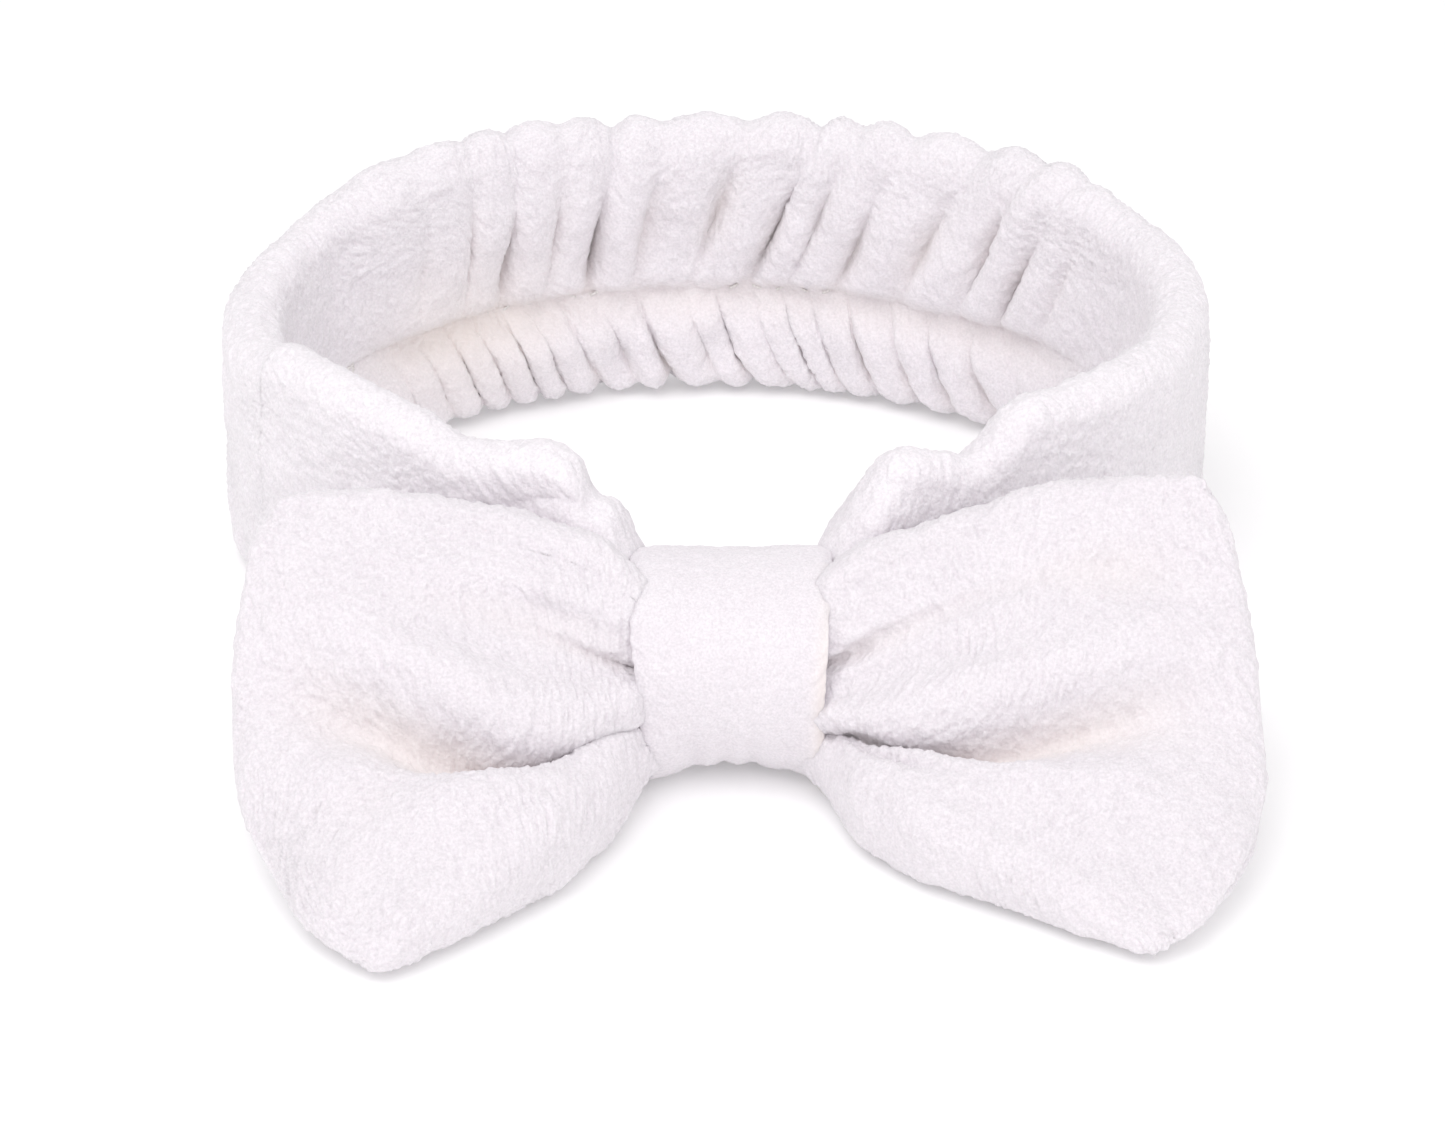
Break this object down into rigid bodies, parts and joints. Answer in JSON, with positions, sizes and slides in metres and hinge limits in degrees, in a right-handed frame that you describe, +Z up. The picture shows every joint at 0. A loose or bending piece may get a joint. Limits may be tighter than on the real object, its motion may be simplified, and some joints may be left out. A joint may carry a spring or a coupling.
{
  "type": "spa headband",
  "caption": "Closed plush fleece headband with a smooth front, an elastic gathered rear and a large two-wing bow held by a wrapped knot.",
  "frame": {"origin": "centre of the head opening, in the plane that the band's lower edge stands on", "axes": "+Z up through the head opening, -Y towards the bow at the front, +X to the right as seen from the front"},
  "size_m": [0.1884, 0.2151, 0.057],
  "materials": {
    "fleece": "plush coral fleece, matt, white with a faint lavender tint",
    "knot_fleece": "plush coral fleece pulled tight, smoother",
    "elastic": "covered elastic, white",
    "thread": "white polyester sewing thread"
  },
  "bodies": {
    "front_band": {"band_front_left": "fleece", "band_front_right": "fleece", "band_end_seam": "thread", "long_seam_left": "thread", "long_seam_right": "thread", "elastic_tack_left": "thread", "elastic_tack_right": "thread", "band_gather_left": "fleece", "band_gather_right": "fleece", "knot_wrap": "knot_fleece", "knot_back_seam": "thread", "bow_middle": "fleece", "bow_pinch_thread": "thread"},
    "rear_band": {"band_rear": "fleece", "elastic_strip": "elastic", "gather_stitching": "thread"},
    "bow_left": {"bow_front_panel_left": "fleece", "bow_back_panel_left": "fleece", "bow_edge_seam_left": "thread"},
    "bow_right": {"bow_front_panel_right": "fleece", "bow_back_panel_right": "fleece", "bow_edge_seam_right": "thread"}
  },
  "joints": [
    {"name": "rear_stretch", "type": "slide", "parent": "front_band", "child": "rear_band", "axis": [0, 1, 0], "range_m": [0, 0.045], "stiffness_N_per_m": 80, "deforming": ["band_gather_left", "band_gather_right", "elastic_strip", "gather_stitching"]},
    {"name": "bow_left_swing", "type": "hinge", "parent": "front_band", "child": "bow_left", "pos_m": [-0.024, -0.0836, 0.0205], "axis": [0, 0, 1], "range_deg": [-15, 25], "stiffness_Nm_per_rad": 0.004},
    {"name": "bow_right_swing", "type": "hinge", "parent": "front_band", "child": "bow_right", "pos_m": [0.024, -0.0836, 0.0205], "axis": [0, 0, -1], "range_deg": [-15, 25], "stiffness_Nm_per_rad": 0.004}
  ]
}
